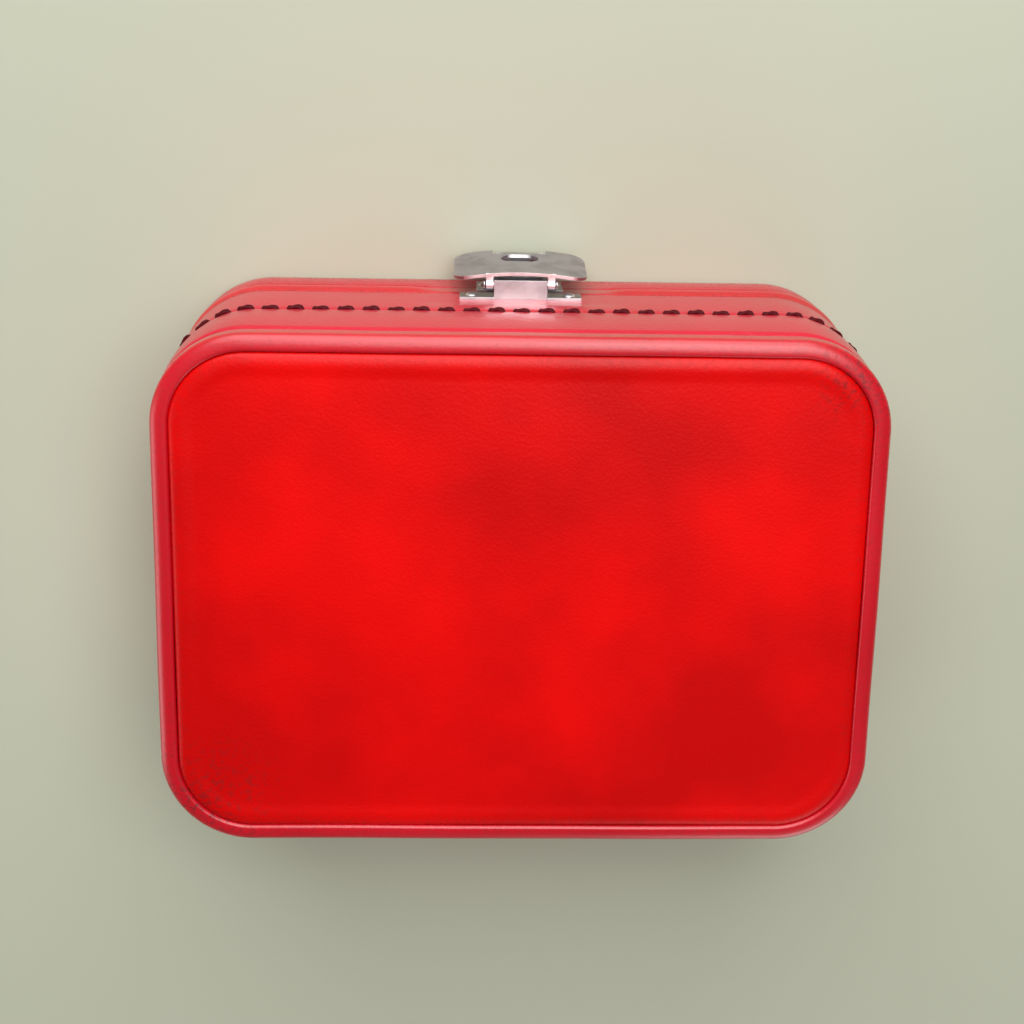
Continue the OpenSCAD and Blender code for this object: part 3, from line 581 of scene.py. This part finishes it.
base_low, base_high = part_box("base_cover")
bind_low, bind_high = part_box("base_binding")
base_columns = 640
base_points = plan(base_columns)[0]
base_in = 0.1 * MM
up_wall = np.linspace(0, 1, 26)[None, :]
turn_r = 3.0 * MM
heel = np.linspace(0, np.pi / 2, 10)[None, :-1]
heel_out = -turn_r + turn_r * np.sin(heel) - base_in
heel_z = base_low.z + turn_r - turn_r * np.cos(heel)
wall_foot, wall_top = base_low.z + turn_r, base_high.z + 0.4 * MM
rise_z = wall_foot + up_wall * (wall_top - wall_foot)
turn_in = smooth_step(0.9, 1.0, up_wall)
swell = 0.5 * MM * np.sin(np.pi * up_wall) - 1.0 * MM * turn_in
loose_base = fitting_flat(base_points, rise_z)
rise_out = swell * loose_base - base_in - (1 - loose_base) * 0.3 * MM * turn_in
inner_out = -np.array([[cover_in, cover_in, 3.1 * MM]])
inner_z = np.array([[wall_top, base_low.z + 3.2 * MM, base_low.z + 0.3 * MM]])
base_out = np.hstack([
    np.tile(heel_out, (base_columns, 1)),
    rise_out,
    np.tile(inner_out, (base_columns, 1)),
])
base_z = np.hstack([heel_z, rise_z, inner_z])
base_wall = carried("base_wall_vinyl", base_out, base_z)
# Dark speckled dirt and painted shade: heavy on the turned-under heel and growing darker down the wall
# towards the table.
heel_dirt_and_shade, rise_dirt_and_shade = np.full_like(heel_z, 0.55), 0.1 + 0.35 * (1 - up_wall) ** 2
base_dirt_and_shade = np.hstack([heel_dirt_and_shade, rise_dirt_and_shade, np.zeros_like(inner_z)])
mark(base_wall, "shade_and_dirt_amount", np.tile(base_dirt_and_shade, (base_columns, 1)))
base_wall.data.materials.append(wall_red_painted_sheen)
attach(base_wall, "base")
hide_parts("base_cover")

bind_r = 1.3 * MM
quarter = np.linspace(0, np.pi / 2, 8)[None, :]
flank = np.linspace(0, 1, 14)[None, 1:-1]
foot_out = -bind_r + bind_r * np.sin(quarter)
foot_z = bind_low.z + bind_r - bind_r * np.cos(quarter)
flank_z = bind_low.z + bind_r + flank * (bind_high.z - bind_low.z - 2 * bind_r)
flank_out = 1.0 * MM * np.sin(np.pi * flank) ** 0.8
brow_out = -bind_r + bind_r * np.cos(quarter)
brow_z = bind_high.z - bind_r + bind_r * np.sin(quarter)
lip_t = 0.8 * MM
lip_out = -np.array([[3.2 * MM, 5.0 * MM, lip_in, 5.0 * MM, cover_in, cover_in]])
lip_z = bind_high.z - np.array([[0, 0, lip_t / 2, lip_t, lip_t, 0]])
lip_z[0, -1] = bind_low.z + 0.2 * MM
bind_z = np.hstack([foot_z, flank_z, brow_z, lip_z])
flat_bind = fitting_flat(base_points, np.full_like(flank_z, bind_low.z))
bind_out = np.hstack([
    np.tile(foot_out, (base_columns, 1)),
    flank_out * flat_bind,
    np.tile(brow_out, (base_columns, 1)),
    np.tile(lip_out, (base_columns, 1)),
])
binding = carried("mouth_binding", bind_out, bind_z)
# Dark speckled dirt and painted shade on the binding's foot and brow, along the groove below it and
# the seam above it; only a little on its flank.
bind_dirt_and_shade = np.hstack([
    np.full_like(foot_z, 0.35),
    np.full_like(flank_z, 0.08),
    np.full_like(brow_z, 0.3),
    np.zeros_like(lip_z),
])
mark(binding, "shade_and_dirt_amount", np.tile(bind_dirt_and_shade, (base_columns, 1)))
binding.data.materials.append(bead_red)
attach(binding, "base")
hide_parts("base_binding")

bottom_red = vinyl("bottom_vinyl", (0.36, 0.006, 0.010), (0.46, 0.008, 0.014), gloss=0.42)
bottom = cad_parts["bottom_panel"].data.materials
bottom.clear()
bottom.append(bottom_red)

# ------------------------------------------------------------------ board shells
# Pressed fibreboard, 3 mm, glued at the corners. It is covered on both sides, so only
# its colour and fibre matter.

board, board_tree, board_shader, board_place = fresh("fibreboard")
board_shader.inputs["Roughness"].default_value = 0.85
board_fibre = noise(board_tree, board_place, scale=240, detail=5)
board_tone = two_tone(board_tree, board_fibre, (0.30, 0.21, 0.12), (0.50, 0.38, 0.24))
board_tree.links.new(board_tone, board_shader.inputs["Base Color"])
for shell in ("base_shell", "lid_shell"):
    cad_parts[shell].data.materials.clear()
    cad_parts[shell].data.materials.append(board)

# ---------------------------------------------------------------- fabric linings
# Thin cream cloth with a fine weave, pasted over the inside of each shell. It turns
# from wall to floor in a soft fillet and lies a little uneven.


def cloth(name, dark, light, threads=250, sheen=0.3, rough=0.8):
    """Plain weave: three sets of fine bands, one along each axis, with the highest of
    them on top, and a slow change of tone."""
    paint, tree, shader, place = fresh(name)
    shader.inputs["Roughness"].default_value = rough
    shader.inputs["Sheen Weight"].default_value = sheen
    bands = []
    for axis in ("X", "Y", "Z"):
        wave = tree.nodes.new("ShaderNodeTexWave")
        wave.bands_direction = axis
        wave.inputs["Scale"].default_value = threads
        wave.inputs["Distortion"].default_value = 1.2
        wave.inputs["Detail"].default_value = 1
        tree.links.new(place, wave.inputs["Vector"])
        bands.append(wave.outputs["Fac"])
    weave = reckon(tree, "MAXIMUM", reckon(tree, "MAXIMUM", bands[0], bands[1]), bands[2])
    slow = noise(tree, place, scale=18, detail=5)
    tone = two_tone(tree, slow, dark, light, low=0.3, high=0.7)
    tree.links.new(tone, shader.inputs["Base Color"])
    emboss(tree, shader, weave, 0.35, 0.0003)
    return paint


lining_cloth = cloth("lining_cloth", (0.52, 0.43, 0.31), (0.66, 0.57, 0.43))


def lining(name, mouth, floor_z, body, node):
    """The wall runs from the mouth to a fillet, a quarter circle, and the floor is the
    fillet's foot scaled towards the middle. The cloth has its thickness outwards."""
    inset, fillet, columns = 5.45 * MM, 5 * MM, 480
    wall_steps, fillet_steps, floor_steps = 12, 8, 29
    way = 1 if mouth > floor_z else -1
    points, outward, walk, _ = plan(columns)
    wall = np.linspace(0, 1, wall_steps)
    a = np.linspace(0, np.pi / 2, fillet_steps + 1)[1:]
    wall_rows = mouth + wall * (floor_z + way * fillet - mouth)
    rows_z = np.concatenate([wall_rows, floor_z + way * fillet * (1 - np.sin(a))])
    rows_in = np.concatenate([np.full(wall_steps, inset), inset + fillet * (1 - np.cos(a))])
    rub = 0.12 * MM * np.sin(walk[:, None] / (14 * MM)) * np.sin(rows_z[None, :] / (6 * MM))
    xy = points[:, None, :] - outward[:, None, :] * (rows_in[None, :] + rub)[:, :, None]
    to_middle = np.arange(1, floor_steps + 1) / (floor_steps + 1)
    inner = xy[:, -1:, :] * (1 - to_middle)[None, :, None]
    hills = 0.15 * MM * np.sin(inner[..., 0] / (13 * MM)) * np.sin(inner[..., 1] / (17 * MM))
    wall_grid = np.concatenate([xy, np.broadcast_to(rows_z, rub.shape)[..., None]], 2)
    floor_grid = np.concatenate([inner, (floor_z + way * np.abs(hills))[..., None]], 2)
    grid = np.concatenate([wall_grid, floor_grid], 1)
    piece = skin(name, grid, loop_rows=False, poles=[(1, np.array([[0, 0, floor_z]]))])
    face = piece.data.polygons[0]
    if face.center.xy.dot(face.normal.xy) > 0:
        piece.data.flip_normals()
    thickness = piece.modifiers.new("thickness", "SOLIDIFY")
    thickness.thickness = 0.5 * MM
    thickness.offset = -1
    piece.data.materials.append(lining_cloth)
    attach(piece, body)
    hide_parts(node)


paste = 0.85 * MM
base_line_low, base_line_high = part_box("base_lining")
lid_line_low, lid_line_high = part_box("lid_lining")
lining("base_lining_cloth", base_line_high.z, base_line_low.z + paste, "base", "base_lining")
lining("lid_lining_cloth", lid_line_low.z, lid_line_high.z - paste, "lid", "lid_lining")

# ------------------------------------------------------------------- quilted pad
# Satin over wadding, sewn in diamonds to a card and glued under the lid's top.

pad_low, pad_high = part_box("lid_quilted_pad")
pad_t = pad_high.z - pad_low.z
pad_inset = (case_w - (pad_high.x - pad_low.x)) / 2
pad_columns, pad_rings = 480, 110
pad_edge = plan(pad_columns, pad_inset)[0]
pad_field = disc(pad_edge, pad_rings, lean_out=1.15)
pad_half = np.array([case_w / 2 - pad_inset, case_d / 2 - pad_inset])
pad_inside = depth_inside(pad_field, pad_half, corner_r - pad_inset)
diamond = 34 * MM
seam_share = 0.32
one_way = np.abs(np.sin(np.pi * (pad_field[..., 0] + pad_field[..., 1]) / diamond))
other_way = np.abs(np.sin(np.pi * (pad_field[..., 0] - pad_field[..., 1]) / diamond))
quilt = seam_share + (1 - seam_share) * (one_way * other_way) ** 0.42
round_edge = np.sqrt(1 - (1 - np.clip(pad_inside / (5 * MM), 0, 1)) ** 2)
pad_z = pad_high.z - np.maximum(pad_t * quilt * round_edge, 0.1 * MM)
pad_back_z = pad_high.z + 0.2 * MM
pad_rim = np.concatenate([pad_edge, np.full((pad_columns, 1), pad_back_z)], 1)[:, None, :]
pad_grid = np.concatenate([pad_rim, np.concatenate([pad_field, pad_z[..., None]], 2)], 1)
pad_middle = np.array([[0, 0, pad_high.z - seam_share * pad_t]])
pad_back = np.array([[0, 0, pad_back_z]])
pad_ends = [(0, pad_back), (1, pad_middle)]
quilted_pad = skin("quilted_pad", pad_grid, loop_rows=False, poles=pad_ends)
satin_dark, satin_light = (0.60, 0.50, 0.37), (0.72, 0.62, 0.48)
satin = cloth("quilting_satin", satin_dark, satin_light, threads=400, sheen=0.6, rough=0.42)
quilted_pad.data.materials.append(satin)
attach(quilted_pad, "lid")
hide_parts("lid_quilted_pad")

# ------------------------------------------------------------------ metal fittings
# Pressed and plated steel. Each piece is the frame's own shape with its arrises eased,
# and the eased edges and top edges are a near-white nickel, a painted highlight brighter
# than the satin faces.


def metal(name, tone, rough, streak=0.06):
    """Plated steel: a fine long-grained brush mark in the roughness and the height, and
    faint cloudy tarnish in the colour."""
    paint, tree, shader, place = fresh(name)
    shader.inputs["Metallic"].default_value = 1.0
    drawn = tree.nodes.new("ShaderNodeMapping")
    drawn.inputs["Scale"].default_value = (60, 900, 900)
    tree.links.new(place, drawn.inputs["Vector"])
    brush = noise(tree, drawn.outputs["Vector"], scale=3, detail=3)
    tarnish = noise(tree, place, scale=130, detail=5)
    tarnished = [0.72 * channel for channel in tone]
    tint = two_tone(tree, tarnish, tarnished, tone, low=0.32, high=0.58)
    tree.links.new(tint, shader.inputs["Base Color"])
    rubbed = spread(tree, brush, rough - streak, rough + streak)
    tree.links.new(rubbed, shader.inputs["Roughness"])
    emboss(tree, shader, brush, 0.08, 0.0001)
    return paint


satin_nickel = metal("satin_nickel", (0.50, 0.46, 0.51), 0.42)
latch_nickel = metal("latch_nickel", (0.58, 0.57, 0.58), 0.30)
# A near-white nickel: a painted highlight on eased edges and top edges, and the rivets' bright
# polished heads.
nickel_polish_and_highlight = metal("nickel_polish_and_painted_highlight", (0.95, 0.94, 0.94), 0.42, streak=0.03)
hinge_nickel = metal("hinge_nickel", (0.60, 0.59, 0.57), 0.32)
zinc = metal("zinc_plate", (0.52, 0.53, 0.55), 0.42)


def eased(node, body, slot, faces_paint, edge_highlight_paint=None, ease=0.22 * MM, paint_top_highlight=False):
    """A copy of the frame's piece, its loose triangles merged and its flat faces made
    whole, with every sharp edge rounded by a narrow bevel."""
    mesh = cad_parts[node].data.copy()
    mesh.name = node + "_metal"
    mesh.materials.clear()
    work = bmesh.new()
    work.from_mesh(mesh)
    bmesh.ops.remove_doubles(work, verts=work.verts, dist=1e-6)
    flat_limit, sharp_limit = math.radians(0.6), math.radians(32)
    bmesh.ops.dissolve_limit(work, angle_limit=flat_limit, verts=work.verts, edges=work.edges)
    work.normal_update()
    for face in work.faces:
        face.smooth = True
        # Top faces, when asked for, take the second material: a painted highlight.
        face.material_index = 1 if paint_top_highlight and face.normal.z > 0.9 else 0
    work.to_mesh(mesh)
    work.free()
    mesh.materials.append(faces_paint)
    mesh.materials.append(edge_highlight_paint or faces_paint)
    piece = bpy.data.objects.new(node + "_finished", mesh)
    scene.collection.objects.link(piece)
    edge = piece.modifiers.new("eased_edges", "BEVEL")
    edge.width = ease
    edge.segments = 3
    edge.limit_method = "ANGLE"
    edge.angle_limit = sharp_limit
    edge.harden_normals = True
    edge.use_clamp_overlap = True
    # Bevels take the second material when one is given: a painted highlight on the edges.
    edge.material = 1 if edge_highlight_paint else -1
    mesh.set_sharp_from_angle(angle=sharp_limit)
    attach(piece, body)
    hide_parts(node)


hasp_steels = (satin_nickel, nickel_polish_and_highlight)
eased("hasp_plate", "hasp", "hasp_steel", *hasp_steels, ease=0.5 * MM, paint_top_highlight=True)
eased("hasp_bracket", "lid", "latch_steel", latch_nickel, nickel_polish_and_highlight, ease=0.25 * MM)
eased("catch_plate", "base", "latch_steel", latch_nickel, nickel_polish_and_highlight, ease=0.25 * MM)
eased("catch_button", "catch", "latch_steel", latch_nickel, nickel_polish_and_highlight, ease=0.6 * MM)
eased("hasp_pin", "lid", "pin_steel", latch_nickel, ease=0.3 * MM)
for hand in ("left", "right"):
    eased("base_hinge_leaf_" + hand, "base", "hinge_steel", hinge_nickel, nickel_polish_and_highlight)
    eased("lid_hinge_leaf_" + hand, "lid", "hinge_steel", hinge_nickel, nickel_polish_and_highlight)
    eased("hinge_pin_" + hand, "base", "pin_steel", hinge_nickel, ease=0.2 * MM)
    eased("base_link_plate_" + hand, "base", "link_plate", zinc)
    eased("lid_link_plate_" + hand, "lid", "link_plate", zinc)
    eased("upper_arm_" + hand, "upper_arms", "link_arm", zinc)
    eased("lower_arm_" + hand, "lower_arms", "link_arm", zinc)
# The rivets are wholly in the near-white nickel: polished heads with a painted highlight.
for rivets, body in (
    ("base_leaf_rivets", "base"),
    ("catch_plate_rivets", "base"),
    ("base_link_rivets", "base"),
    ("arm_pivot_studs", "base"),
    ("lid_leaf_rivets", "lid"),
    ("bracket_rivets", "lid"),
    ("lid_link_rivets", "lid"),
    ("tray_pivot_studs", "lid"),
    ("upper_tray_studs", "upper_tray"),
    ("lower_tray_studs", "lower_tray"),
):
    eased(rivets, body, "rivet_steel", nickel_polish_and_highlight, ease=0.12 * MM)

# -------------------------------------------------------------------------- trays
# Moulded in one piece of ivory plastic, with thin dividers and, in the upper tray, a
# field of pegs for thread spools. The corners are soft from the mould.

ivory, ivory_tree, ivory_shader, ivory_place = fresh("ivory_plastic")
ivory_shader.inputs["Subsurface Weight"].default_value = 0.08
ivory_shader.inputs["Subsurface Scale"].default_value = 0.002
flow = noise(ivory_tree, ivory_place, scale=26, detail=6)
ivory_tone = two_tone(ivory_tree, flow, (0.60, 0.50, 0.34), (0.74, 0.66, 0.50), low=0.3, high=0.7)
ivory_tree.links.new(ivory_tone, ivory_shader.inputs["Base Color"])
scuff = noise(ivory_tree, ivory_place, scale=700, detail=4)
scuffed = spread(ivory_tree, scuff, 0.30, 0.52)
ivory_tree.links.new(scuffed, ivory_shader.inputs["Roughness"])
emboss(ivory_tree, ivory_shader, scuff, 0.12, 0.0002)
for tray in ("upper_tray", "lower_tray"):
    eased(tray, tray, "tray_plastic", ivory, ease=0.4 * MM)
